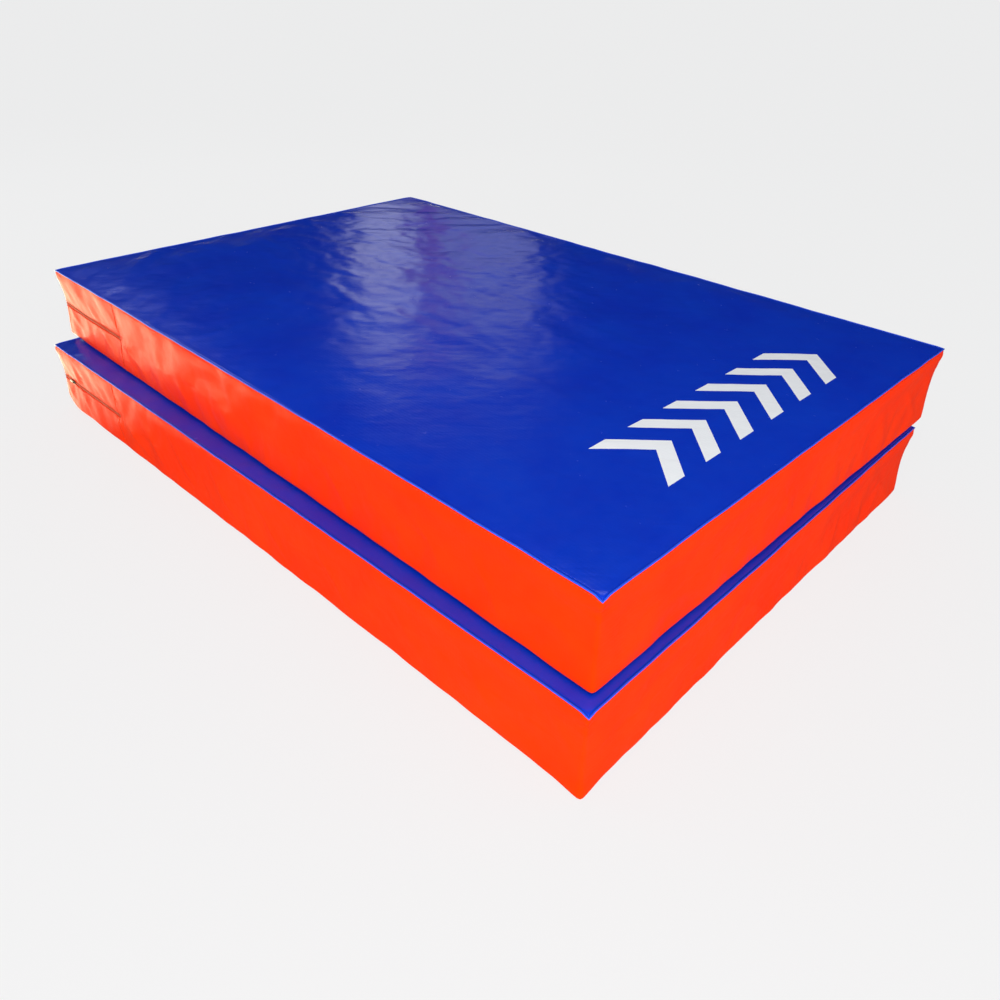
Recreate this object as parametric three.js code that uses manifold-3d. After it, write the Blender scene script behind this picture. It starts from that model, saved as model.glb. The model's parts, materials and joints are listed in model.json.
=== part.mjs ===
// A pair of thick crash landing mats, stacked loosely one on the other. Each mat is a block of
// foam inside its own zipped cover of coated fabric.
//
// Millimetres, +Z up. X runs along the mats, from the zip end (-X) to the plain end (+X), and Y
// from the front long side (-Y) to the back one (+Y). The origin is under the middle of the
// stack's box, on the floor.

import * as THREE from 'three';
import * as BufferGeometryUtils from 'three/addons/utils/BufferGeometryUtils.js';
import Module from 'manifold-3d';

const wasm = await Module();
wasm.setup();

// ---- driving dimensions -------------------------------------------------------------------

const MAT = { length: 3000, width: 2000, height: 300 }; // one mat, over its welts
const CORNER_RADIUS = 20; // of the welts in plan
const GAP = 0.3; // left between pieces that touch

const STACK = {
  shiftX: -20, // how far the upper mat lies off the lower one
  shiftY: 77,
  turn: THREE.MathUtils.degToRad(-0.87),
};

const PANEL = 2; // thickness of the cover's top and base panels
const WELT = { width: 8, height: 8, bevel: 2, rise: 1 }; // rise: below the panel's face
const WALL = { inset: 6, thickness: 2 };
const FOAM = { inset: 12, topper: 50 };

const ZIP = {
  legEnd: 940, // distance of the upright seam from the middle of the mat
  slot: 5, // from the zip's middle line to the folded edge of each band
  tape: 18, // height of one tape
  tapeThickness: 1,
  tooth: 3, // height of one row of teeth
  stopLength: 8,
  rowsStart: 20, // how far the rows of teeth stop short of the upright seam
};
const ZIP_LEVEL = MAT.height / 2;

const SLIDER = { length: 20, height: 12, thickness: 2.5, nose: 6 };
const BRIDGE = { opening: 6.4, clear: 3, wall: 1.8, height: 3 };
const PULL = { length: 36, height: 10, thickness: 1.6, bar: 2, eye: 7, rail: 2.5 };

const CURVE_STEPS = 4; // straight steps in a quarter turn

// ---- finishes -----------------------------------------------------------------------------

const coatedFabric = (colour) =>
  new THREE.MeshStandardMaterial({ color: colour, roughness: 0.32, metalness: 0 });
const FINISH = {
  panel: () => coatedFabric(0x0a3cb4),
  wall: () => coatedFabric(0xff3c05),
  softFoam: () => new THREE.MeshStandardMaterial({ color: 0xe9dfa8, roughness: 0.95 }),
  firmFoam: () => new THREE.MeshStandardMaterial({ color: 0x8f969c, roughness: 0.9 }),
  tape: () => new THREE.MeshStandardMaterial({ color: 0x7a2414, roughness: 0.85 }),
  teeth: () => new THREE.MeshStandardMaterial({ color: 0x2a2422, roughness: 0.45 }),
  metal: () => new THREE.MeshStandardMaterial({ color: 0x8c8a86, roughness: 0.3, metalness: 1 }),
};

// ---- outlines and solids ------------------------------------------------------------------

/** Half sizes and corner radius of the mat's outline, moved inwards by inset. */
function outlineAt(inset) {
  return {
    x: MAT.length / 2 - inset,
    y: MAT.width / 2 - inset,
    r: CORNER_RADIUS - inset,
  };
}

/** The whole outline in plan, moved inwards by inset, drawn on a Shape or a hole's Path. */
function tracePlan(path, inset) {
  const { x, y, r } = outlineAt(inset);
  path.moveTo(-x + r, -y);
  path.lineTo(x - r, -y);
  path.absarc(x - r, -y + r, r, -Math.PI / 2, 0, false);
  path.lineTo(x, y - r);
  path.absarc(x - r, y - r, r, 0, Math.PI / 2, false);
  path.lineTo(-x + r, y);
  path.absarc(-x + r, y - r, r, Math.PI / 2, Math.PI, false);
  path.lineTo(-x, -y + r);
  path.absarc(-x + r, -y + r, r, Math.PI, 1.5 * Math.PI, false);
  return path;
}

/** A strip that runs round the +X end in plan, with a leg back to fromX on each long side. */
function endStrip(fromX, outerInset, innerInset) {
  const o = outlineAt(outerInset);
  const i = outlineAt(innerInset);
  const strip = new THREE.Shape();
  strip.moveTo(fromX, -o.y);
  strip.lineTo(o.x - o.r, -o.y);
  strip.absarc(o.x - o.r, -o.y + o.r, o.r, -Math.PI / 2, 0, false);
  strip.lineTo(o.x, o.y - o.r);
  strip.absarc(o.x - o.r, o.y - o.r, o.r, 0, Math.PI / 2, false);
  strip.lineTo(fromX, o.y);
  strip.lineTo(fromX, i.y);
  strip.lineTo(i.x - i.r, i.y);
  strip.absarc(i.x - i.r, i.y - i.r, i.r, Math.PI / 2, 0, true);
  strip.lineTo(i.x, -i.y + i.r);
  strip.absarc(i.x - i.r, -i.y + i.r, i.r, 0, -Math.PI / 2, true);
  strip.lineTo(fromX, -i.y);
  return strip;
}

/** A shape drawn in plan and raised from one level to another. */
function raise(shape, bottom, top) {
  const options = { depth: top - bottom, bevelEnabled: false, curveSegments: CURVE_STEPS };
  return new THREE.ExtrudeGeometry(shape, options).translate(0, 0, bottom);
}

/** A closed geometry as a manifold-3d solid. */
function solidOf(geometry) {
  const bare = geometry.clone();
  bare.deleteAttribute('normal');
  bare.deleteAttribute('uv');
  const merged = BufferGeometryUtils.mergeVertices(bare);
  const vertProperties = merged.attributes.position.array;
  const triVerts = new Uint32Array(merged.index.array);
  return new wasm.Manifold(new wasm.Mesh({ numProp: 3, vertProperties, triVerts }));
}

/** A manifold-3d solid as a geometry. */
function geometryOf(solid) {
  const { vertProperties, triVerts } = solid.getMesh();
  const geometry = new THREE.BufferGeometry();
  geometry.setAttribute('position', new THREE.BufferAttribute(vertProperties, 3));
  geometry.setIndex(new THREE.BufferAttribute(triVerts, 1));
  geometry.computeVertexNormals();
  return geometry;
}

function named(name, geometry, finish) {
  const mesh = new THREE.Mesh(geometry, finish());
  mesh.name = name;
  return mesh;
}

// ---- foam and cover -----------------------------------------------------------------------

/** The soft core, with a firmer layer of foam glued on top of it. */
function foamBlock(prefix) {
  const plan = tracePlan(new THREE.Shape(), FOAM.inset);
  const bottom = PANEL + GAP;
  const top = MAT.height - PANEL - GAP;
  const split = top - FOAM.topper;
  return [
    named(`${prefix}_foam_core`, raise(plan, bottom, split - GAP), FINISH.softFoam),
    named(`${prefix}_foam_topper`, raise(plan, split, top), FINISH.firmFoam),
  ];
}

/** The large flat panels above and below the foam. */
function coverPanels(prefix) {
  const plan = tracePlan(new THREE.Shape(), WELT.width + GAP);
  const top = MAT.height;
  return [
    named(`${prefix}_cover_base`, raise(plan, 0, PANEL), FINISH.panel),
    named(`${prefix}_cover_top`, raise(plan, top - PANEL, top), FINISH.panel),
  ];
}

/** The rounded seam all the way round a panel, standing a little proud of the walls. */
function welt(name, bottom) {
  const ring = tracePlan(new THREE.Shape(), WELT.bevel);
  ring.holes.push(tracePlan(new THREE.Path(), WELT.width - WELT.bevel));
  const geometry = new THREE.ExtrudeGeometry(ring, {
    depth: WELT.height - 2 * WELT.bevel,
    bevelThickness: WELT.bevel,
    bevelSize: WELT.bevel,
    bevelSegments: 2,
    curveSegments: CURVE_STEPS,
  });
  return named(name, geometry.translate(0, 0, bottom + WELT.bevel), FINISH.panel);
}

function welts(prefix) {
  const topWelt = MAT.height - WELT.rise - WELT.height;
  return [welt(`${prefix}_base_welt`, WELT.rise), welt(`${prefix}_top_welt`, topWelt)];
}

const WALL_BOTTOM = WELT.rise + WELT.height + GAP;
const WALL_TOP = MAT.height - WALL_BOTTOM;
const WALL_INNER = WALL.inset + WALL.thickness;

/** The one-piece side wall, from one upright seam round the plain end to the other. */
function sideStrip(prefix) {
  const strip = endStrip(-ZIP.legEnd + GAP, WALL.inset, WALL_INNER);
  return named(`${prefix}_side_strip`, raise(strip, WALL_BOTTOM, WALL_TOP), FINISH.wall);
}

// ---- zip ----------------------------------------------------------------------------------

/** The slider's plate with the bridge that holds the pull. Travel is X and outwards is +Y. */
function sliderGeometry() {
  const { length, height, thickness, nose } = SLIDER;
  const plate = new THREE.Shape();
  plate.moveTo(-length / 2, -height / 2 + nose / 2);
  plate.lineTo(-length / 2 + nose, -height / 2);
  plate.lineTo(length / 2, -height / 2 + 1);
  plate.lineTo(length / 2, height / 2 - 1);
  plate.lineTo(-length / 2 + nose, height / 2);
  plate.lineTo(-length / 2, height / 2 - nose / 2);
  const body = new THREE.ExtrudeGeometry(plate, { depth: thickness, bevelEnabled: false });
  body.rotateX(Math.PI / 2);

  const inner = BRIDGE.opening / 2;
  const outer = inner + BRIDGE.wall;
  const crown = BRIDGE.clear + BRIDGE.wall;
  const sunk = -thickness / 2;
  const arch = new THREE.Shape();
  arch.moveTo(-outer, sunk);
  arch.lineTo(-inner, sunk);
  arch.lineTo(-inner, BRIDGE.clear);
  arch.lineTo(inner, BRIDGE.clear);
  arch.lineTo(inner, sunk);
  arch.lineTo(outer, sunk);
  arch.lineTo(outer, BRIDGE.clear);
  arch.lineTo(inner, crown);
  arch.lineTo(-inner, crown);
  arch.lineTo(-outer, BRIDGE.clear);
  const bridge = new THREE.ExtrudeGeometry(arch, { depth: BRIDGE.height, bevelEnabled: false });
  bridge.translate(0, 0, -BRIDGE.height / 2);

  return geometryOf(solidOf(body).add(solidOf(bridge)));
}

/** The pull tab, turning on its end bar, which lies at the origin. It points along +X. */
function pullGeometry() {
  const { length, height, thickness, bar, eye, rail } = PULL;
  const tip = height / 2;
  const tab = new THREE.Shape();
  tab.moveTo(-bar / 2, -height / 2);
  tab.lineTo(length - tip, -height / 2);
  tab.absarc(length - tip, 0, tip, -Math.PI / 2, Math.PI / 2, false);
  tab.lineTo(-bar / 2, height / 2);
  const window = new THREE.Path();
  window.moveTo(bar / 2, -height / 2 + rail);
  window.lineTo(bar / 2, height / 2 - rail);
  window.lineTo(bar / 2 + eye, height / 2 - rail);
  window.lineTo(bar / 2 + eye, -height / 2 + rail);
  tab.holes.push(window);
  const options = { depth: thickness, bevelEnabled: false, curveSegments: CURVE_STEPS };
  const geometry = new THREE.ExtrudeGeometry(tab, options);
  return geometry.translate(0, 0, -thickness / 2).rotateX(Math.PI / 2);
}

/** Slider and pull at a place on the zip, outwards being the zip group's +Y until turned. */
function sliderAt(prefix, x, y, turn) {
  const group = new THREE.Group();
  group.add(named(`${prefix}_zip_slider`, sliderGeometry(), FINISH.metal));
  const pull = named(`${prefix}_zip_pull`, pullGeometry(), FINISH.metal);
  pull.position.y = BRIDGE.clear / 2;
  group.add(pull);
  group.position.set(x, y, ZIP_LEVEL);
  group.rotation.z = turn;
  return group;
}

/** The opening round the zip end: two bands of wall, two tapes, two rows of teeth, two stops. */
function zipOpening(prefix) {
  const group = new THREE.Group();
  const level = ZIP_LEVEL;
  const add = (name, shape, bottom, top, finish) =>
    group.add(named(`${prefix}_${name}`, raise(shape, bottom, top), finish));

  const band = endStrip(ZIP.legEnd, WALL.inset, WALL_INNER);
  add('zip_upper_band', band, level + ZIP.slot, WALL_TOP, FINISH.wall);
  add('zip_lower_band', band, WALL_BOTTOM, level - ZIP.slot, FINISH.wall);

  const tapeOuter = WALL_INNER + GAP;
  const tape = endStrip(ZIP.legEnd + 1, tapeOuter, tapeOuter + ZIP.tapeThickness);
  add('zip_upper_tape', tape, level + GAP / 2, level + ZIP.tape, FINISH.tape);
  add('zip_lower_tape', tape, level - ZIP.tape, level - GAP / 2, FINISH.tape);

  const teeth = endStrip(ZIP.legEnd + ZIP.rowsStart, WALL.inset, WALL_INNER);
  add('zip_upper_teeth', teeth, level + GAP / 2, level + GAP / 2 + ZIP.tooth, FINISH.teeth);
  add('zip_lower_teeth', teeth, level - GAP / 2 - ZIP.tooth, level - GAP / 2, FINISH.teeth);

  const stopX = ZIP.legEnd + ZIP.rowsStart - GAP - ZIP.stopLength / 2;
  const stopY = MAT.width / 2 - WALL.inset - WALL.thickness / 2;
  for (const [place, side] of [['front', 1], ['back', -1]]) {
    const block = new THREE.BoxGeometry(ZIP.stopLength, WALL.thickness, 2 * ZIP.tooth);
    const stop = named(`${prefix}_zip_${place}_stop`, block, FINISH.metal);
    stop.position.set(stopX, side * stopY, level);
    group.add(stop);
  }

  group.rotation.z = Math.PI; // strips are drawn round the +X end, and the zip is at -X
  return group;
}

// ---- one mat, and the stack ---------------------------------------------------------------

const SLIDER_FACE = WALL.inset - GAP - SLIDER.thickness; // inset of the slider's outer face

/** Where each slider is left: the lower one on the front leg, the upper one on the end. */
const SLIDER_PLACE = {
  lower: { x: 1380, y: MAT.width / 2 - SLIDER_FACE, turn: 0 },
  upper: { x: MAT.length / 2 - SLIDER_FACE, y: -700, turn: -Math.PI / 2 },
};

function mat(prefix) {
  const group = new THREE.Group();
  group.add(...foamBlock(prefix), ...coverPanels(prefix), ...welts(prefix));
  group.add(sideStrip(prefix));
  const zip = zipOpening(prefix);
  const { x, y, turn } = SLIDER_PLACE[prefix];
  zip.add(sliderAt(prefix, x, y, turn));
  group.add(zip);
  return group;
}

const stack = new THREE.Group();
const lower = mat('lower');
const upper = mat('upper');
upper.position.set(STACK.shiftX, STACK.shiftY, MAT.height + GAP);
upper.rotation.z = STACK.turn;
stack.add(lower, upper);

// The origin goes under the middle of everything.
const box = new THREE.Box3().setFromObject(stack, true);
const middle = box.getCenter(new THREE.Vector3());
stack.position.set(-middle.x, -middle.y, -box.min.z);

const model = new THREE.Group();
model.add(stack);

export default model;
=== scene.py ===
# %% [markdown]
# # Two thick landing mats in glossy covers
#
# Each mat is a block of foam zipped into a cover of PVC-coated fabric: a blue panel above and
# below, and an orange wall sewn between them. A cover is cut slightly larger than its foam, so
# it lies in soft ripples. That slack is what makes it look real, and a cloth simulation over
# the foam gives it more truthfully than a drawn pattern would. Everything else, the piping, the
# zip and the stitches, is then laid along the settled cloth.

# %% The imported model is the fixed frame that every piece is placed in
import json
import math

import bmesh
import bpy
import numpy as np
from mathutils import Matrix, Vector, noise


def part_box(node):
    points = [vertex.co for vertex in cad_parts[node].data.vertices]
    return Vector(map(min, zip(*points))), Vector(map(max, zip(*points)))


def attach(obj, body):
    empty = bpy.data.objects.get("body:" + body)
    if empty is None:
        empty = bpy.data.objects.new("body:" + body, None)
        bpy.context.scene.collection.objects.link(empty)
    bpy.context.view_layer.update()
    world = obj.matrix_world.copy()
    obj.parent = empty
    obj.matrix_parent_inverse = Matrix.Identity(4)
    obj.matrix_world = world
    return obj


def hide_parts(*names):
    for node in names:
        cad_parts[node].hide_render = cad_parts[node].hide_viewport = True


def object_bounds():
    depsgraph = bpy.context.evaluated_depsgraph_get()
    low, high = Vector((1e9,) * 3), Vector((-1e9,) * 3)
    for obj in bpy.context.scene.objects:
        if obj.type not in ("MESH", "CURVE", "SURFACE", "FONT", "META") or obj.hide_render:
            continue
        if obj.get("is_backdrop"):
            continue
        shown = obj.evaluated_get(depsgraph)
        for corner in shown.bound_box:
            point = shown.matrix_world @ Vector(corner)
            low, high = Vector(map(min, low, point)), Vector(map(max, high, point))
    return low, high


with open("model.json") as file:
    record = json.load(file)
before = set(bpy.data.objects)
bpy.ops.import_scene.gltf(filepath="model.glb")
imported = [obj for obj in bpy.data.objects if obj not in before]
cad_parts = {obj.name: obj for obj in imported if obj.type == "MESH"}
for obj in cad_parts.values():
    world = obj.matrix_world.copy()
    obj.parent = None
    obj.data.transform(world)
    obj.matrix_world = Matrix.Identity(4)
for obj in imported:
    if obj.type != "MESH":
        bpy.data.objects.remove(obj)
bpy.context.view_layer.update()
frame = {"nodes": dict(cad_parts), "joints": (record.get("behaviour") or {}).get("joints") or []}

# %% [markdown]
# ## Where each mat lies
#
# Both mats are the same size, so each is made once in its own plain frame, with X along the
# mat, Y across it and Z up from its base, and is then put in place. The frame says where: a
# panel's box is centred on its mat, and the zip slider on the upper mat travels across it, so
# that joint's axis is the upper mat's own Y direction.

# %% Sizes and places, in metres, from the frame
MATS = ("lower", "upper")


def slider_axis(mat):
    return next(j["axis"] for j in frame["joints"] if j["name"] == f"{mat}_slider_travel")


def place_of(mat):
    """The matrix that takes a mat's own frame to the model's frame."""
    low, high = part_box(f"{mat}_cover_base")
    across = Vector(slider_axis("upper")) if mat == "upper" else Vector((0, 1, 0))
    turn = math.atan2(-across.x, across.y)
    middle = (low + high) / 2
    return Matrix.Translation((middle.x, middle.y, low.z)) @ Matrix.Rotation(turn, 4, "Z")


PLACE = {mat: place_of(mat) for mat in MATS}


def box_size(node):
    low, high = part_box(node)
    return high - low


welt_box = box_size("lower_top_welt")
LENGTH, WIDTH = welt_box.x, welt_box.y
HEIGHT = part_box("lower_cover_top")[1].z
WELT_RADIUS = welt_box.z / 2
WALL_INSET = LENGTH / 2 - (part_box("lower_side_strip")[1].x - PLACE["lower"].translation.x)
SEAM_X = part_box("lower_side_strip")[0].x - PLACE["lower"].translation.x
ZIP_LEVEL = (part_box("lower_zip_upper_band")[0].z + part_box("lower_zip_lower_band")[1].z) / 2
ZIP_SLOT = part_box("lower_zip_upper_band")[0].z - ZIP_LEVEL
print("one mat:", round(LENGTH, 3), round(WIDTH, 3), round(HEIGHT, 3), "upright seam at", round(SEAM_X, 3))

# %% [markdown]
# ## Camera
#
# A standing photographer looks down over the near corner, so the lens is fairly wide and the
# long sides run away steeply. The camera leans by a degree or so.

# %% Camera
CAMERA_PLACE = Vector((2.2186, -2.1239, 1.7332))
CAMERA_HEADING = math.radians(132.835)  # from +X towards +Y
CAMERA_DOWN = math.radians(33.71)
CAMERA_LEAN = math.radians(1.403)

camera = bpy.data.objects.new("camera", bpy.data.cameras.new("camera"))
camera.data.sensor_width = 36
camera.data.lens = 29.045
camera.location = CAMERA_PLACE
level = math.cos(CAMERA_DOWN)
gaze = Vector((
    level * math.cos(CAMERA_HEADING),
    level * math.sin(CAMERA_HEADING),
    -math.sin(CAMERA_DOWN),
))
aim = gaze.to_track_quat("-Z", "Y").to_matrix() @ Matrix.Rotation(CAMERA_LEAN, 3, "Z")
camera.rotation_euler = aim.to_euler()
bpy.context.scene.collection.objects.link(camera)
bpy.context.scene.camera = camera

# %% [markdown]
# ## Colours and nodes
#
# Colours are picked as they look on a screen, and Blender mixes light in linear values, so one
# function turns a hex colour to linear. One more adds a node with its settings and its inputs,
# where an input is a number, a colour or another node's output.

# %% Two small helpers for materials


def linear(hex_colour):
    """A linear RGBA colour from sRGB hex, such as "#1A4FD0"."""
    shown = [int(hex_colour[i:i + 2], 16) / 255 for i in (1, 3, 5)]
    return tuple(c / 12.92 if c <= 0.04045 else ((c + 0.055) / 1.055) ** 2.4 for c in shown) + (1.0,)


def add(tree, kind, inputs=(), **settings):
    """A new node. inputs maps a socket's name or number to a value, an output, or a node, whose
    first output is then used."""
    node = tree.nodes.new(kind)
    for name, value in settings.items():
        setattr(node, name, value)
    for key, value in dict(inputs).items():
        numbered = isinstance(key, int)
        socket = node.inputs[key] if numbered else next(s for s in node.inputs if s.enabled and s.name == key)
        if isinstance(value, bpy.types.Node):
            value = next(s for s in value.outputs if s.enabled)
        if isinstance(value, bpy.types.NodeSocket):
            tree.links.new(value, socket)
        else:
            socket.default_value = value
    return node


def new_material(name):
    """An empty node material, with its tree and its surface input."""
    material = bpy.data.materials.new(name)
    material.use_nodes = True
    tree = material.node_tree
    tree.nodes.clear()
    surface = add(tree, "ShaderNodeOutputMaterial").inputs["Surface"]
    return material, tree, surface

# %% [markdown]
# ## Studio
#
# The room is a pale floor under soft, even light. The blue panel is glossy enough to show what
# stands behind it, so two tall bright panels stand beyond the far corner, as windows would,
# with a dim red banner between them. The long orange wall's pale sheen is partly a reflection of
# one wide panel on the left and partly a painted glow: in reflections the floor glows bright beyond
# the zip end. Reflections elsewhere stay dark, which keeps the blue deep.

# %% Floor, world and lights


def look_at(thing, target):
    thing.rotation_euler = (Vector(target) - thing.location).to_track_quat("-Z", "Y").to_euler()


def area_light(name, place, target, size, power, colour="#FFFFFF", mirrored=True):
    light = bpy.data.lights.new(name, "AREA")
    light.shape = "RECTANGLE"
    light.size, light.size_y = size
    light.energy = power
    light.color = linear(colour)[:3]
    thing = bpy.data.objects.new(name, light)
    thing.location = place
    look_at(thing, target)
    thing.visible_camera = False
    thing.visible_glossy = mirrored
    bpy.context.scene.collection.objects.link(thing)
    return thing


def window(name, heading, distance, width, power, colour="#FFFFFF", base=1.7, tall=2.0):
    """An upright light panel beyond the mats, in the direction heading degrees from +X."""
    angle = math.radians(heading)
    place = Vector((distance * math.cos(angle), distance * math.sin(angle), base + tall / 2))
    return area_light(name, place, (0, 0, place.z - 0.6), (width, tall), power, colour)


window("left_window", 144.0, 6.5, 0.66, 5.4)
window("right_window", 132.8, 6.5, 1.15, 4.4)
window("red_banner", 139.0, 6.6, 0.34, 1.6, "#C04848")
window("near_door", -42.0, 6.5, 1.5, 9.0)
window("side_door", 42.0, 6.5, 1.2, 7.0)
strip = area_light("ceiling_strip", (0.3, 0.9, 5.0), (0.3, 0.0, 0.6), (2.6, 0.5), 24)
strip.visible_diffuse = False  # it only shows as a reflection, from above
area_light("side_window", (-6.5, -4.2, 2.2), (-1.0, -1.0, 0.3), (3.0, 3.2), 60)
area_light("sky_panel", (-6.5, 0.4, 4.4), (0, 0, 0.6), (1.8, 1.6), 22)
area_light("fill", (4.5, -4.0, 1.1), (0.8, -0.8, 0.3), (3.0, 1.6), 190, mirrored=False)
area_light("key", (2.6, -2.8, 4.2), (1.0, -0.6, 0.3), (3.0, 3.0), 84, mirrored=False)

world = bpy.data.worlds.new("studio")
world.use_nodes = True
world.node_tree.nodes.clear()
rays = add(world.node_tree, "ShaderNodeLightPath")
PALE, SOFT, DIM = linear("#EFEFEF"), linear("#AEB2B8"), linear("#141A26")
around = add(world.node_tree, "ShaderNodeMix",
             {"Factor": rays.outputs["Is Glossy Ray"], "A": SOFT, "B": DIM}, data_type="RGBA")
seen = add(world.node_tree, "ShaderNodeMix",
           {"Factor": rays.outputs["Is Camera Ray"], "A": around, "B": PALE}, data_type="RGBA")
backdrop = add(world.node_tree, "ShaderNodeBackground", {"Color": seen, "Strength": 1.0})
add(world.node_tree, "ShaderNodeOutputWorld", {"Surface": backdrop})
bpy.context.scene.world = world
bpy.context.scene.view_settings.view_transform = "Standard"

FLOOR_SIZE = 400
FLOOR_SHADOW = 0.10  # how much of the floor's brightness can be shaded
FLOOR_GLOW = linear("#E6E6E6")
# In reflections the floor shows a painted glow, bright beyond the zip end and dark elsewhere; it puts the pale sheen
# on the orange wall.
FLOOR_LIT = (6.6, 6.4, 4.2, 1.0)
LIT_TO = -1.9  # gloss mirrors a lit floor only beyond the zip end
floor_bm = bmesh.new()
bmesh.ops.create_circle(floor_bm, cap_ends=True, segments=64, radius=FLOOR_SIZE / 2)
floor_mesh = bpy.data.meshes.new("studio_floor")
floor_bm.to_mesh(floor_mesh)
floor_bm.free()
floor = bpy.data.objects.new("studio_floor", floor_mesh)
bpy.context.scene.collection.objects.link(floor)
floor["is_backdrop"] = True
floor_paint, tree, surface = new_material("pale studio floor")
rays = add(tree, "ShaderNodeLightPath")
matt = add(tree, "ShaderNodeBsdfDiffuse", {"Color": (FLOOR_SHADOW,) * 3 + (1,)})
ground = add(tree, "ShaderNodeSeparateXYZ", {"Vector": add(tree, "ShaderNodeTexCoord").outputs["Object"]})
shade = add(tree, "ShaderNodeMapRange", {"Value": ground.outputs["X"], "From Min": LIT_TO,
            "From Max": LIT_TO + 0.9}, interpolation_type="SMOOTHSTEP")
mirrored = add(tree, "ShaderNodeMix", {"Factor": shade, "A": FLOOR_LIT, "B": DIM}, data_type="RGBA")
seen = add(tree, "ShaderNodeMix", {"Factor": rays.outputs["Is Glossy Ray"], "A": FLOOR_GLOW,
           "B": mirrored}, data_type="RGBA")
glow = add(tree, "ShaderNodeEmission", {"Color": seen})
whole = add(tree, "ShaderNodeAddShader", {0: matt, 1: glow})
tree.links.new(whole.outputs[0], surface)
floor.data.materials.append(floor_paint)

# %% [markdown]
# ## PVC-coated polyester
#
# The cover is polyester cloth with PVC spread over it and pressed smooth: glossy, but with the
# weave just showing through, a fine crinkle where it has been folded, and dull scuffs. The base
# colour hardly varies; nearly all the life is in the roughness and in the bump. PVC has an IOR
# of about 1.53. The thread spacing of such cloth is under 1 mm, too fine to show on a 3 m mat,
# so the weave is drawn at 6 mm.

# %% Coated fabric
WEAVE = 0.006
CRINKLE = 0.034
SCUFF = 0.30
PVC_IOR = 1.53


def fabric_bump(tree, place, weave_depth, crinkle_depth):
    """Weave and crinkle together, as one bumped normal."""
    threads = None
    for axis in ("X", "Y", "Z"):
        wave = add(tree, "ShaderNodeTexWave", {"Vector": place, "Scale": 1 / WEAVE / 6.283},
                   bands_direction=axis)
        threads = wave if threads is None else add(
            tree, "ShaderNodeMath", {0: threads.outputs[0], 1: wave.outputs["Fac"]}, operation="ADD")
    weave = add(tree, "ShaderNodeBump", {"Height": threads, "Distance": weave_depth, "Strength": 0.25})
    along = add(tree, "ShaderNodeMapping", {"Vector": place, "Rotation": (0, 0, math.radians(43)),
                "Scale": (3.0, 1.0, 1.0)}, vector_type="TEXTURE")
    folds = add(tree, "ShaderNodeTexNoise", {"Vector": along, "Scale": 1 / CRINKLE, "Detail": 3.0,
                "Roughness": 0.55, "Distortion": 0.6})
    return add(tree, "ShaderNodeBump", {"Height": folds.outputs["Fac"], "Distance": crinkle_depth,
               "Strength": 0.6, "Normal": weave})


def coated_fabric(name, fresh, worn, gloss=(0.19, 0.29), shine=0.3, weave_depth=0.0002,
                  crinkle_depth=0.0015):
    """PVC-coated cloth; returns the material, its tree and its shader."""
    material, tree, surface = new_material(name)
    place = add(tree, "ShaderNodeTexCoord").outputs["Object"]
    patches = add(tree, "ShaderNodeTexNoise", {"Vector": place, "Scale": 1 / SCUFF, "Detail": 5.0,
                  "Roughness": 0.6})
    shade = add(tree, "ShaderNodeMapRange", {"Value": patches.outputs["Fac"], "From Min": 0.35,
                "From Max": 0.7})
    colour = add(tree, "ShaderNodeMix", {"Factor": shade, "A": linear(fresh), "B": linear(worn)},
                 data_type="RGBA")
    fine = add(tree, "ShaderNodeTexNoise", {"Vector": place, "Scale": 6 / SCUFF, "Detail": 6.0,
               "Roughness": 0.7})
    dull = add(tree, "ShaderNodeMapRange", {"Value": fine.outputs["Fac"], "From Min": 0.3,
               "From Max": 0.75, "To Min": gloss[0], "To Max": gloss[1]})
    shader = add(tree, "ShaderNodeBsdfPrincipled", {
        "Base Color": colour, "Roughness": dull, "IOR": PVC_IOR, "Specular IOR Level": shine,
        "Normal": fabric_bump(tree, place, weave_depth, crinkle_depth)})
    tree.links.new(shader.outputs[0], surface)
    return material, tree, shader


blue_pvc = coated_fabric("royal blue PVC-coated polyester", "#0330BE", "#033AC6")[0]
# The piping is the panel's blue fabric, drawn a lighter blue as a painted highlight along the seam.
lightened_piping_pvc = coated_fabric("folded blue PVC piping, painted lighter as a highlight", "#2A5AE0", "#1E4CD4", gloss=(0.28, 0.36))[0]
orange_pvc = coated_fabric("orange PVC-coated polyester", "#FF3000", "#FF3801", gloss=(0.30, 0.42), shine=0.035)[0]

# %% [markdown]
# ## The printed mark
#
# The landing face carries a white screen print across the plain end. A plain row of chevrons
# stands for it. Print is ink a few hundredths of a millimetre thick, so it belongs in the
# material: chevrons are stripes whose phase is pushed on by the distance from their middle line.

# %% Blue fabric with a row of chevrons
PRINT_X, PRINT_HEIGHT = (1.07 + 1.34) / 2, 0.27
PRINT_START, PRINT_PITCH, PRINT_COUNT, PRINT_SHARE = -0.39, 0.18, 6, 0.42


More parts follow.
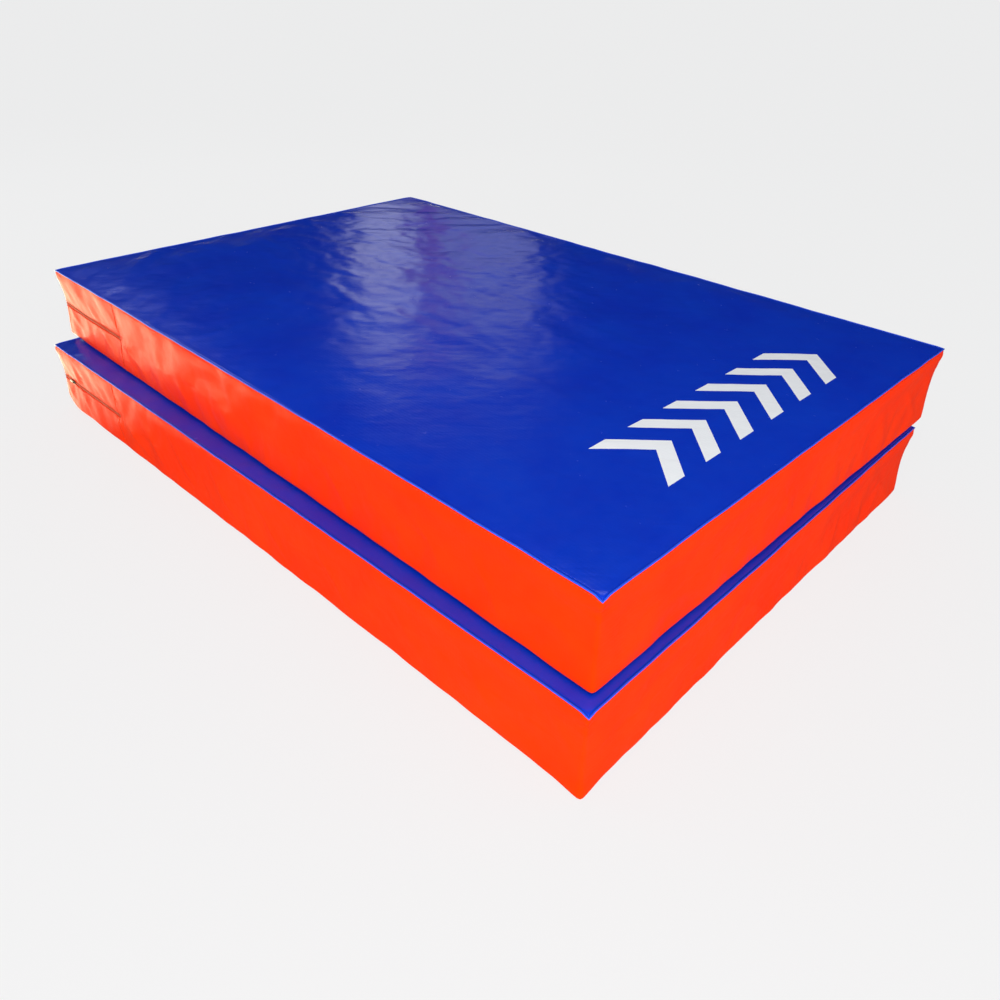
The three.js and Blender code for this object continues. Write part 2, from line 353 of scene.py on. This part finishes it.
def printed_fabric(mat):
    material, tree, shader = coated_fabric("blue fabric with white print", "#0330BE", "#033AC6")
    place = add(tree, "ShaderNodeTexCoord").outputs["Object"]
    middle = PLACE[mat].translation
    turn = PLACE[mat].to_euler().z
    own = add(tree, "ShaderNodeMapping", {"Vector": place, "Location": middle,
              "Rotation": (0, 0, turn)}, vector_type="TEXTURE")
    parts = add(tree, "ShaderNodeSeparateXYZ", {"Vector": own})

    def maths(operation, a, b=0.0):
        return add(tree, "ShaderNodeMath", {0: a, 1: b}, operation=operation)

    off_line = maths("ABSOLUTE", maths("SUBTRACT", parts.outputs["X"], PRINT_X))
    inside = maths("LESS_THAN", off_line, PRINT_HEIGHT / 2)
    along = maths("SUBTRACT", maths("ADD", parts.outputs["Y"], off_line), PRINT_START)
    started = maths("GREATER_THAN", along, 0.0)
    ended = maths("LESS_THAN", along, PRINT_PITCH * PRINT_COUNT)
    stripe = maths("LESS_THAN", maths("FRACT", maths("DIVIDE", along, PRINT_PITCH)), PRINT_SHARE)
    ink = maths("MULTIPLY", maths("MULTIPLY", inside, stripe), maths("MULTIPLY", started, ended))
    plain = shader.inputs["Base Color"].links[0].from_node
    inked = add(tree, "ShaderNodeMix", {"Factor": ink, "A": plain, "B": linear("#FFFFFF")},
                data_type="RGBA")
    tree.links.new(next(s for s in inked.outputs if s.enabled), shader.inputs["Base Color"])
    return material


printed_pvc = printed_fabric("upper")

# %% [markdown]
# ## Zip, thread and foam
#
# The zip is a heavy coil: woven polyester tape, nylon teeth, and a slider of die-cast zinc with
# a dark nickel plate. Polyurethane foam is matt and full of small open cells, drawn at 4 mm.

# %% Smaller finishes


def simple_finish(name, colour, second, grain, roughness, metallic=0.0, depth=0.0004, kind="noise"):
    """A finish with one pattern of a real size for both its colour and its bump."""
    material, tree, surface = new_material(name)
    place = add(tree, "ShaderNodeTexCoord").outputs["Object"]
    if kind == "cells":
        pattern = add(tree, "ShaderNodeTexVoronoi", {"Vector": place, "Scale": 1 / grain})
    else:
        pattern = add(tree, "ShaderNodeTexNoise", {"Vector": place, "Scale": 1 / grain, "Detail": 3.0})
    tint = add(tree, "ShaderNodeMix", {"Factor": pattern.outputs[0], "A": linear(colour),
               "B": linear(second)}, data_type="RGBA")
    bump = add(tree, "ShaderNodeBump", {"Height": pattern.outputs[0], "Distance": depth, "Strength": 0.5})
    shader = add(tree, "ShaderNodeBsdfPrincipled", {"Base Color": tint, "Roughness": roughness,
                 "Metallic": metallic, "Normal": bump})
    tree.links.new(shader.outputs[0], surface)
    return material


zip_tape_cloth = simple_finish("woven zip tape", "#C93A18", "#DE4A20", 0.002, 0.85)
zip_nylon = simple_finish("nylon zip coil", "#C8502E", "#D46244", 0.003, 0.45)
nickel = simple_finish("dark nickel on zinc", "#3E3C3A", "#4A4846", 0.004, 0.3, metallic=1.0, depth=0.0001)
thread = simple_finish("bonded polyester thread", "#D8380C", "#F04A14", 0.002, 0.6)
blue_thread = simple_finish("blue bonded thread", "#1C46C4", "#2C58D8", 0.002, 0.6)
soft_foam = simple_finish("open-cell foam", "#E6DBA0", "#CFC288", 0.004, 0.95, depth=0.001, kind="cells")
firm_foam = simple_finish("firm foam", "#8B9298", "#757C82", 0.004, 0.9, depth=0.0008, kind="cells")

# %% [markdown]
# ## The cover, settled over its foam
#
# The cover starts as a plain tailored box: a grid for the landing panel, whose rim is extruded
# down in rings to make the wall, and once more inwards to start the base. The wall's rings have
# their own heights, so that the zip's slot and the seams fall on edges. It is cut a little
# oversize through the cloth's shrink setting, which grows the cloth when it is negative, and
# gravity then lays it on the foam in ripples. The base and the zip, which is stiffer than the
# fabric, are pinned.

# %% Tailoring
CELL = 0.02  # the cloth's grid
RIM_INSET = 0.007  # the piped seam lies a little inside the wall's fullest line
FOOT = 0.012  # height of the foot's fullest line
BASE_SEAM = 0.004  # height of the seam between wall and base panel
SHOULDER = 0.265  # height of the wall's fullest line
PANEL, STRIP, UPPER_BAND, LOWER_BAND, UPPER_SLOT, LOWER_SLOT, BASE = range(7)


def ring_levels():
    """Heights and insets of the wall's rings, from the top down."""
    above = np.linspace(HEIGHT, ZIP_LEVEL + ZIP_SLOT, 8)[1:]
    below = [*np.linspace(ZIP_LEVEL - ZIP_SLOT, 0.026, 7), FOOT, BASE_SEAM]
    heights = [*above, ZIP_LEVEL, *below]
    rings = []
    for z in heights:
        flare = -0.010 * max(0.0, 1 - z / 0.16)  # it spreads a little towards its foot
        tuck = 0.018 if z == BASE_SEAM else 0.0  # and rolls under there
        shoulder = 0.008 * max(0.0, 1 - abs(z - SHOULDER) / 0.05)  # and is fullest below the top seam
        rings.append((float(z), WALL_INSET + flare + tuck - shoulder))
    return rings + [(0.0, WALL_INSET + 0.030)]


def ring_scale(inset):
    return Vector(((LENGTH / 2 - inset) / (LENGTH / 2 - RIM_INSET), (WIDTH / 2 - inset) / (WIDTH / 2 - RIM_INSET)))


def tailored_cover(name, seed):
    """The flat-sided cover as an object, with a part number on each face and its cut place on each point."""
    bm = bmesh.new()
    size = Matrix.Diagonal((LENGTH - 2 * RIM_INSET, WIDTH - 2 * RIM_INSET, 1, 1))
    columns, rows = round(LENGTH / CELL), round(WIDTH / CELL)
    lift = Matrix.Translation((0, 0, HEIGHT))
    bmesh.ops.create_grid(bm, x_segments=columns, y_segments=rows, size=0.5, matrix=lift @ size)
    part = bm.faces.layers.int.new("part")
    cut = bm.verts.layers.float_vector.new("cut")
    crease = bm.edges.layers.float.new("crease_edge")
    point_crease = bm.verts.layers.float.new("crease_vert")
    rim = [e for e in bm.edges if e.is_boundary]
    for edge in rim:
        edge[crease] = 1.0
    for point in bm.verts:
        if len(point.link_edges) == 2:
            point[point_crease] = 1.0  # a corner's tip stays sharp
    previous = ring_scale(RIM_INSET)
    for z, inset in ring_levels():
        made = bmesh.ops.extrude_edge_only(bm, edges=rim)["geom"]
        points = [g for g in made if isinstance(g, bmesh.types.BMVert)]
        now = ring_scale(inset)
        for point in points:
            point.co.x *= now.x / previous.x
            point.co.y *= now.y / previous.y
            point.co.z = z
            point[point_crease] = 0.0  # an extruded point starts with the one above's crease
        fresh = set(points)
        rim = [g for g in made if isinstance(g, bmesh.types.BMEdge) and fresh.issuperset(g.verts)]
        for edge in rim:
            edge[crease] = 1.0 if z == BASE_SEAM else 0.0
        for face in (g for g in made if isinstance(g, bmesh.types.BMFace)):
            face[part] = part_of(face.calc_center_median())
        previous = now
    bmesh.ops.recalc_face_normals(bm, faces=bm.faces)
    for point in bm.verts:
        point[cut] = point.co
        if point.co.z > BASE_SEAM:
            point.co += 0.002 * noise.noise_vector(point.co * 9 + Vector((seed, 0, 0)))
    mesh = bpy.data.meshes.new(name)
    bm.to_mesh(mesh)
    bm.free()
    cover = bpy.data.objects.new(name, mesh)
    bpy.context.scene.collection.objects.link(cover)
    return cover


def part_of(centre):
    """Which piece of the cover a face of the wall belongs to."""
    if centre.z < BASE_SEAM:
        return BASE
    if centre.x > SEAM_X:
        return STRIP
    if abs(centre.z - ZIP_LEVEL) < ZIP_SLOT:
        return UPPER_SLOT if centre.z > ZIP_LEVEL else LOWER_SLOT
    return UPPER_BAND if centre.z > ZIP_LEVEL else LOWER_BAND


def foam_form(name, inset, bottom, top, edge):
    """A block of foam with rounded edges."""
    bm = bmesh.new()
    size = Matrix.Diagonal((LENGTH - 2 * inset, WIDTH - 2 * inset, top - bottom, 1))
    bmesh.ops.create_cube(bm, size=1, matrix=Matrix.Translation((0, 0, (bottom + top) / 2)) @ size)
    bmesh.ops.bevel(bm, geom=bm.edges[:], offset=edge, segments=4, profile=0.5, affect="EDGES", material=-1)
    mesh = bpy.data.meshes.new(name)
    bm.to_mesh(mesh)
    bm.free()
    block = bpy.data.objects.new(name, mesh)
    bpy.context.scene.collection.objects.link(block)
    return block

# %% [markdown]
# The cloth keeps its own pace: fifteen steps are enough for the slack to gather into ripples,
# and few enough that the cover never drifts far from its tailored shape. The subdivision after
# it halves the grid, and both are applied together, so no Cloth stays on the piece.

# %% Cloth
SLACK = 0.004  # how much larger the cover is than its foam
CLOTH_STEPS = 15
FABRIC_WEIGHT = 0.65  # kilograms a square metre


def settle(cover):
    """Lays the cover over a temporary foam block and applies the result, one level finer."""
    foam = foam_form("foam_under_cloth", 0.012, 0.0, HEIGHT - 0.006, 0.03)
    foam.modifiers.new("hold", "COLLISION")
    foam.collision.thickness_outer = 0.003
    foam.collision.cloth_friction = 5
    pins = cover.vertex_groups.new(name="pinned")
    cut = [Vector(a.vector) for a in cover.data.attributes["cut"].data]
    held = [i for i, c in enumerate(cut) if c.z <= BASE_SEAM + 1e-4 or (
        c.x < SEAM_X + CELL and abs(c.z - ZIP_LEVEL) < ZIP_SLOT + 1e-4)]
    pins.add(held, 1.0, "REPLACE")
    cloth = cover.modifiers.new("cloth", "CLOTH")
    settings = cloth.settings
    settings.quality = 4
    settings.mass = FABRIC_WEIGHT * CELL * CELL
    settings.tension_stiffness = settings.compression_stiffness = 40
    settings.shear_stiffness = 20
    settings.bending_stiffness = 0.3
    settings.tension_damping = settings.compression_damping = settings.shear_damping = 8
    settings.bending_damping = 0.5
    settings.air_damping = 2
    settings.vertex_group_mass = "pinned"
    settings.shrink_min = settings.shrink_max = -SLACK
    cloth.collision_settings.distance_min = 0.003
    cloth.point_cache.frame_start, cloth.point_cache.frame_end = 1, CLOTH_STEPS
    for step in range(1, CLOTH_STEPS + 1):
        bpy.context.scene.frame_set(step)
    finer = cover.modifiers.new("finer", "SUBSURF")
    finer.levels = finer.render_levels = 1
    finer.boundary_smooth = "PRESERVE_CORNERS"
    settled = bpy.data.meshes.new_from_object(cover.evaluated_get(bpy.context.evaluated_depsgraph_get()))
    cover.modifiers.clear()
    cover.data = settled
    bpy.data.objects.remove(foam)
    return cover


covers = {}
for number, mat in enumerate(MATS):
    covers[mat] = settle(tailored_cover(f"{mat}_cloth", 3 + 4 * number))
    print(mat, "cover:", len(covers[mat].data.polygons), "faces")

# %% [markdown]
# ## Handling
#
# Cloth over a perfect block is still too new. A used mat has its ripples pressed flatter where
# people stand and where another mat lies, its upright corner edges are drawn in between the
# two seams, its corner tips droop, and its wall is creased. These are small smooth moves of
# points, so they are done on arrays of places. Each point still knows where it was cut, which
# says what part of the mat it belongs to however the cloth has moved.

# %% Arrays of points


def read_points(mesh):
    """Settled and cut places, as two arrays of rows."""
    now, cut = np.empty(len(mesh.vertices) * 3), np.empty(len(mesh.vertices) * 3)
    mesh.vertices.foreach_get("co", now)
    mesh.attributes["cut"].data.foreach_get("vector", cut)
    return now.reshape(-1, 3), cut.reshape(-1, 3)


def ease(amount):
    """Smooth step from 0 to 1."""
    amount = np.clip(amount, 0, 1)
    return amount * amount * (3 - 2 * amount)


def fade(distance, reach):
    """1 at no distance, falling smoothly to 0 at reach."""
    return 1 - ease(distance / reach)


CALM, LIVELY = 0.35, 0.85  # share of a ripple's height that is kept, from the near end to the far one
FAR_WAY = (-0.68, 0.73)  # across the mat, from the corner that gets most use


def calm_ripples(now, cut):
    top = cut[:, 2] > HEIGHT - 1e-4
    level = np.median(now[top, 2])
    away = (cut[top, 0] * FAR_WAY[0] + cut[top, 1] * FAR_WAY[1]) / 1.6
    share = CALM + (LIVELY - CALM) * ease(0.5 + away / 2)
    now[top, 2] = HEIGHT + share * (now[top, 2] - level)


def press_flat(now, above, own):
    """Where another mat lies on this one, nothing stands above its height."""
    to_upper = np.array(above.inverted() @ own)
    places = now @ to_upper[:3, :3].T + to_upper[:3, 3]
    margin = np.minimum(LENGTH / 2 - abs(places[:, 0]), WIDTH / 2 - abs(places[:, 1]))
    covered = ease((margin + 0.03) / 0.03)
    spare = np.maximum(now[:, 2] - (HEIGHT - 0.001), 0)
    now[:, 2] -= covered * spare


DRAWN_IN = 0.006  # how far an upright corner edge is pulled in at mid height
PLAIN_CORNER = {"beak": 0.002, "collar": 0.004, "foot": 0.003}
WORN_CORNERS = {
    ("upper", 1, -1): {"beak": 0.010, "collar": 0.011, "foot": -0.003},
    ("lower", 1, -1): {"beak": 0.009, "collar": 0.010, "foot": -0.012},
    ("lower", -1, -1): {"beak": 0.003, "collar": 0.006, "foot": 0.018},
}


def shape_corners(now, cut, mat):
    height = cut[:, 2]
    for side_x in (-1, 1):
        for side_y in (-1, 1):
            worn = WORN_CORNERS.get((mat, side_x, side_y), PLAIN_CORNER)
            off = np.hypot(cut[:, 0] - side_x * LENGTH / 2, cut[:, 1] - side_y * WIDTH / 2)
            inward = np.array((-side_x, -side_y, 0)) / math.sqrt(2)
            waist = fade(off, 0.25) * np.sin(np.pi * np.clip(height / HEIGHT, 0, 1))
            foot = fade(off, 0.10) * fade(height, 0.07)
            collar = fade(off, 0.075) * fade(abs(height - 0.250), 0.026)
            moved = DRAWN_IN * waist + worn["foot"] * foot + worn["collar"] * collar
            now += inward * moved[:, None]
            now[:, 2] -= worn["beak"] * fade(off, 0.035) * ease((height - 0.27) / 0.03)


CREASE = 0.008


def crease_walls(now, cut, mat, seed):
    """Slanting ridges in the wall, deeper towards its foot."""
    for index in np.flatnonzero((cut[:, 2] < HEIGHT - 0.004) & (cut[:, 2] > BASE_SEAM + 0.002)):
        x, y, z = cut[index]
        long_side = abs(y) / WIDTH > abs(x) / LENGTH
        along = x if long_side else y
        where = Vector((along * 3.2 + z * 3.0, z * 1.3, seed + (7 if long_side else 0)))
        ridge = (1 - min(1, abs(noise.noise(where)) * 2.4)) ** 3
        low = (0.35 + 0.65 * (1 - z / HEIGHT)) * math.sin(math.pi * z / HEIGHT) ** 2
        if mat == "lower":
            low *= 1.0 + 1.1 * float(fade(abs(x + 1.0), 0.9))
        low *= float(ease((LENGTH / 2 - abs(x) if long_side else WIDTH / 2 - abs(y)) / 0.07))
        if x < SEAM_X + 0.05:  # a zip is stiffer than the fabric, and its slider runs on a straight track
            low *= float(ease(abs(z - ZIP_LEVEL) / 0.04))
        out = (0, math.copysign(1, y), 0) if long_side else (math.copysign(1, x), 0, 0)
        now[index] += np.array(out) * (CREASE * low * ridge)


for number, mat in enumerate(MATS):
    mesh = covers[mat].data
    now, cut = read_points(mesh)
    calm_ripples(now, cut)
    crease_walls(now, cut, mat, 2 + 5 * number)
    shape_corners(now, cut, mat)
    if mat == "lower":
        press_flat(now, PLACE["upper"], PLACE["lower"])
    mesh.vertices.foreach_set("co", now.ravel())
    mesh.transform(PLACE[mat])
    mesh.update()
    print(mat, "landing face lies between", now[cut[:, 2] > HEIGHT - 1e-4, 2].min().round(4),
          "and", now[cut[:, 2] > HEIGHT - 1e-4, 2].max().round(4))

# %% [markdown]
# ## Cutting the cover into its pieces
#
# The maker cuts a landing panel, a long strip for three sides, two bands for the zip end and a
# base panel, and sews them together. The faces carry their piece's number, so each piece is a
# copy of the shell with the other faces deleted, and the settled seams match exactly. Solidify
# then gives each its thickness, inwards.

# %% The pieces of the cover
FABRIC = 0.0012


def install(piece, body, slot, paint, nodes=()):
    """Gives a finished piece its finish, its body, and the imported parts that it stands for."""
    piece.data.materials.clear()
    piece.data.materials.append(paint)
    for face in piece.data.polygons:
        face.use_smooth = True
    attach(piece, body)
    if nodes:
        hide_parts(*nodes)
    return piece


def link_mesh(name, bm):
    mesh = bpy.data.meshes.new(name)
    bm.to_mesh(mesh)
    bm.free()
    piece = bpy.data.objects.new(name, mesh)
    bpy.context.scene.collection.objects.link(piece)
    return piece


def cut_out(cover, part):
    """A bmesh with only the faces of one part of a cover."""
    bm = bmesh.new()
    bm.from_mesh(cover.data)
    layer = bm.faces.layers.int["part"]
    bmesh.ops.delete(bm, geom=[f for f in bm.faces if f[layer] != part], context="FACES")
    return bm


def thicken(piece, thickness=FABRIC):
    wall = piece.modifiers.new("thickness", "SOLIDIFY")
    wall.thickness = thickness
    wall.offset = -1
    wall.use_quality_normals = True


CLOTH_PIECES = (
    (PANEL, "landing_panel", "blue_panel", "cover_top", 0.9),
    (STRIP, "side_wall", "orange_wall", "side_strip", 1.0),
    (UPPER_BAND, "wall_above_zip", "orange_wall", "zip_upper_band", 1.0),
    (LOWER_BAND, "wall_below_zip", "orange_wall", "zip_lower_band", 1.0),
    (BASE, "base_panel", "blue_panel", "cover_base", 1.0),
)
for mat in MATS:
    for part, name, slot, node, fill in CLOTH_PIECES:
        bm = cut_out(covers[mat], part)
        if part == BASE:
            low = min(v.co.z for v in bm.verts)
            hem = [e for e in bm.edges if e.is_boundary and max(v.co.z for v in e.verts) < low + 1e-4]
            bmesh.ops.holes_fill(bm, edges=hem, sides=0)
        piece = link_mesh(f"{mat}_{name}", bm)
        thicken(piece)
        paint = {"blue_panel": blue_pvc, "orange_wall": orange_pvc}[slot]
        if part == PANEL and mat == "upper":
            paint = printed_pvc
        install(piece, f"{mat}_mat", slot, paint, [f"{mat}_{node}"])

# %% [markdown]
# ## Seams
#
# A seam is where faces of two pieces meet, so its run of points can be read off the shell:
# collect those edges and walk along them. Piping, zip and thread then all follow the cloth.

# %% Runs of seam points


def seam_runs(cover, ones, others):
    """Ordered runs along the edges between two sets of parts. Each row is a point, the surface's
    normal there, and the direction into the others across the surface."""
    bm = bmesh.new()
    bm.from_mesh(cover.data)
    bm.normal_update()
    layer = bm.faces.layers.int["part"]
    links, across = {}, {}
    for edge in bm.edges:
        pair = [f for f in edge.link_faces]
        kinds = [f[layer] for f in pair]
        if len(pair) != 2 or not ({kinds[0]} <= ones and {kinds[1]} <= others or
                                  {kinds[1]} <= ones and {kinds[0]} <= others):
            continue
        away = pair[0] if kinds[0] in others else pair[1]
        middle = away.calc_center_median()
        for v, w in (edge.verts, reversed(edge.verts)):
            links.setdefault(v, []).append(w)
            line = (edge.verts[1].co - edge.verts[0].co).normalized()
            toward = middle - v.co
            across[v] = across.get(v, Vector()) + (toward - toward.dot(line) * line).normalized()
    runs, used = [], set()
    ends = [v for v in links if len(links[v]) == 1]
    for start in ends + list(links):
        if start in used:
            continue
        run, here = [start], start
        used.add(start)
        while True:
            onward = [w for w in links[here] if w not in used]
            if not onward:
                break
            here = onward[0]
            used.add(here)
            run.append(here)
        runs.append(np.array([[*v.co, *v.normal, *across[v].normalized()] for v in run]))
    bm.free()
    return runs


def beside(run, across=0.0, out=0.0):
    """The run's points, moved across the surface and out of it."""
    return run[:, :3] + across * run[:, 6:9] + out * run[:, 3:6]


def curve_through(name, points, closed, radius=0.0):
    data = bpy.data.curves.new(name, "CURVE")
    data.dimensions = "3D"
    data.twist_mode = "Z_UP"
    spline = data.splines.new("POLY")
    spline.points.add(len(points) - 1)
    for knot, place in zip(spline.points, points):
        knot.co = (*place, 1)
    spline.use_cyclic_u = closed
    data.bevel_depth = radius
    data.bevel_resolution = 2
    curve = bpy.data.objects.new(name, data)
    bpy.context.scene.collection.objects.link(curve)
    return curve


def as_mesh(thing):
    """A plain mesh object of what thing looks like with its modifiers, in its place."""
    bpy.context.view_layer.update()
    seen = thing.evaluated_get(bpy.context.evaluated_depsgraph_get())
    mesh = bpy.data.meshes.new_from_object(seen)
    name = thing.name
    bpy.data.objects.remove(thing)
    made = bpy.data.objects.new(name, mesh)
    bpy.context.scene.collection.objects.link(made)
    return made

# %% [markdown]
# ## Piping
#
# Both edges of the wall are piped: a folded strip of blue fabric round a thin cord, caught in
# the seam. A curve with a round bevel along the settled seam is just that shape. Its blue is
# painted lighter than the panel's, a painted highlight along the seam.

# %% Piping
WALLS = {STRIP, UPPER_BAND, LOWER_BAND}
PIPE = 0.65 * WELT_RADIUS
top_seams, base_seams = {}, {}
for mat in MATS:
    top_seams[mat] = seam_runs(covers[mat], {PANEL}, WALLS)[0]
    base_seams[mat] = seam_runs(covers[mat], {BASE}, WALLS)[0]
    for name, run, node in (("top_piping", top_seams[mat], "top_welt"), ("base_piping", base_seams[mat], "base_welt")):
        across = 0.0005 if name == "top_piping" else -0.003
        pipe = as_mesh(curve_through(f"{mat}_{name}", beside(run, across), True, PIPE))
        install(pipe, f"{mat}_mat", "blue_welt", lightened_piping_pvc, [f"{mat}_{node}"])
        print(pipe.name, len(run), "points round")

# %% [markdown]
# ## Thread
#
# One stitch is a thin rounded lozenge a few millimetres long. An Array repeats it, and a Curve
# modifier bends the row along the seam: that is a sewing machine in two modifiers.

# %% Rows of repeated small shapes


def row_along(name, points, closed, one, pitch):
    """Copies of the small mesh `one`, pitch apart along X, bent along the points."""
    rail = curve_through(name + "_rail", points, closed)
    gaps = np.linalg.norm(np.diff(points, axis=0), axis=1).sum()
    row = bpy.data.objects.new(name, one)
    bpy.context.scene.collection.objects.link(row)
    array = row.modifiers.new("row", "ARRAY")
    array.use_relative_offset = False
    array.use_constant_offset = True
    array.constant_offset_displace = (pitch, 0, 0)
    array.count = int(gaps / pitch)
    bend = row.modifiers.new("bend", "CURVE")
    bend.object = rail
    bend.deform_axis = "POS_X"
    made = as_mesh(row)
    bpy.data.objects.remove(rail)
    return made


def lozenge(name, length, width, height, sides=6, rings=4):
    bm = bmesh.new()
    upright = Matrix.Rotation(math.radians(90), 4, "Y")
    size = Matrix.Diagonal((length / 2, width / 2, height / 2, 1))
    bmesh.ops.create_uvsphere(bm, u_segments=sides, v_segments=rings, radius=1, matrix=size @ upright)
    bmesh.ops.translate(bm, verts=bm.verts, vec=(length / 2, 0, 0))
    mesh = bpy.data.meshes.new(name)
    bm.to_mesh(mesh)
    bm.free()
    return mesh


STITCH_PITCH, STITCH, THREAD = 0.012, 0.0085, 0.0016  # a real stitch is 5 mm long, too short to show
stitch = lozenge("stitch", STITCH, THREAD, THREAD)
for mat in MATS:
    uprights = seam_runs(covers[mat], {STRIP}, {UPPER_BAND, LOWER_BAND, UPPER_SLOT, LOWER_SLOT})
    rows = [("top_stitches", top_seams[mat], True, 0.009), ("base_stitches", base_seams[mat], True, 0.009)]
    rows += [(f"{side}_upright_stitches", run, False, -0.005)
             for side, run in zip(("front", "back"), sorted(uprights, key=lambda r: r[0, 1]))]
    for name, run, closed, across in rows:
        piece = row_along(f"{mat}_{name}", beside(run, across, 0.0004), closed, stitch, STITCH_PITCH)
        install(piece, f"{mat}_mat", "orange_wall", thread)
    print(mat, "has", [round(len(r[1]) * 0.01, 1) for r in rows], "m of seams, about")

# %% [markdown]
# ## Zip
#
# The zip runs along half of one long side, across the end and back, so that the foam can be
# taken out. Its tapes are the narrow rows of the shell between the two bands, set back a little
# behind the fabric. Each tape carries half of a nylon coil, and the two halves mesh.

# %% Tapes and coils
TAPE_BACK, TAPE_HIDDEN = 0.0014, 0.008
COIL_PITCH = 0.004
tooth = lozenge("tooth", 0.0026, 0.0022, 0.0042)
for mat in MATS:
    for part, name, node, up in ((UPPER_SLOT, "zip_tape_above", "zip_upper_tape", 1),
                                 (LOWER_SLOT, "zip_tape_below", "zip_lower_tape", -1)):
        bm = cut_out(covers[mat], part)
        bm.normal_update()
        for v in bm.verts:
            v.co -= TAPE_BACK * v.normal
        edge_level = max(up * v.co.z for v in bm.verts)
        hem = [e for e in bm.edges if min(up * v.co.z for v in e.verts) > edge_level - 1e-3]
        made = bmesh.ops.extrude_edge_only(bm, edges=hem)["geom"]
        hidden = [g for g in made if isinstance(g, bmesh.types.BMVert)]
        bmesh.ops.translate(bm, verts=hidden, vec=(0, 0, up * TAPE_HIDDEN))
        tape = link_mesh(f"{mat}_{name}", bm)
        thicken(tape, 0.0008)
        install(tape, f"{mat}_mat", "zip_tape", zip_tape_cloth, [f"{mat}_{node}"])
    middle = seam_runs(covers[mat], {UPPER_SLOT}, {LOWER_SLOT})[0]
    for name, node, up in (("zip_coil_above", "zip_upper_teeth", 1), ("zip_coil_below", "zip_lower_teeth", -1)):
        path = beside(middle, -up * 0.0012, -TAPE_BACK + 0.0012)
        if up < 0:
            path[0] += (path[1] - path[0]) / np.linalg.norm(path[1] - path[0]) * COIL_PITCH / 2
        coil = row_along(f"{mat}_{name}", path, False, tooth, COIL_PITCH)
        install(coil, f"{mat}_mat", "zip_teeth", zip_nylon, [f"{mat}_{node}"])
    for level, name in ((UPPER_SLOT, "above"), (LOWER_SLOT, "below")):
        band = UPPER_BAND if level == UPPER_SLOT else LOWER_BAND
        run = seam_runs(covers[mat], {level}, {band})[0]
        row = row_along(f"{mat}_zip_stitches_{name}", beside(run, 0.004, 0.0004), False, stitch, STITCH_PITCH)
        install(row, f"{mat}_mat", "orange_wall", thread)

# %% [markdown]
# ## Slider, pull and stops
#
# These are small zinc castings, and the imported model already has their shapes. A copy with its
# triangles merged gets rounded edges, since no casting has sharp ones and the highlight along an
# edge is what makes metal read as metal.

# %% Zinc castings


def cast_from(node, name, edge):
    bm = bmesh.new()
    bm.from_mesh(frame["nodes"][node].data)
    bmesh.ops.remove_doubles(bm, verts=bm.verts, dist=1e-5)
    bmesh.ops.dissolve_limit(bm, angle_limit=math.radians(2), verts=bm.verts, edges=bm.edges)
    piece = link_mesh(name, bm)
    rounding = piece.modifiers.new("rounding", "BEVEL")
    rounding.width = edge
    rounding.segments = 3
    rounding.angle_limit = math.radians(30)
    rounding.harden_normals = True
    return piece


for mat in MATS:
    for node, name, body, edge in (
        ("zip_slider", "slider_casting", "slider", 0.0005),
        ("zip_pull", "pull_tab", "pull", 0.0004),
        ("zip_front_stop", "front_crimp", "mat", 0.0005),
        ("zip_back_stop", "back_crimp", "mat", 0.0005),
    ):
        piece = cast_from(f"{mat}_{node}", f"{mat}_{name}", edge)
        install(piece, f"{mat}_{body}", "zip_metal", nickel, [f"{mat}_{node}"])

# %% [markdown]
# ## Foam
#
# A thick soft core does the stopping and a firmer sheet over it spreads the load. They are cut
# by hot wire and sit inside the closed cover, slightly short of it, with rounded edges.

# %% Foam blocks
for mat in MATS:
    for node, name, paint, slot in (("foam_core", "soft_core", soft_foam, "soft_foam"),
                                    ("foam_topper", "firm_sheet", firm_foam, "firm_foam")):
        low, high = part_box(f"lower_{node}")
        top = min(high.z, HEIGHT - 0.010)
        block = foam_form(f"{mat}_{name}", 0.045, max(low.z, 0.006), top, 0.012)
        block.data.transform(PLACE[mat])
        install(block, f"{mat}_mat", slot, paint, [f"{mat}_{node}"])
    bpy.data.objects.remove(covers[mat])

# %% [markdown]
# ## Sizes
#
# The covers may stand a little proud of the imported model, and no more. The visual box is
# printed.

# %% Sizes and the end
low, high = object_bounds()
print("visual box:", [round(v, 3) for v in high - low])
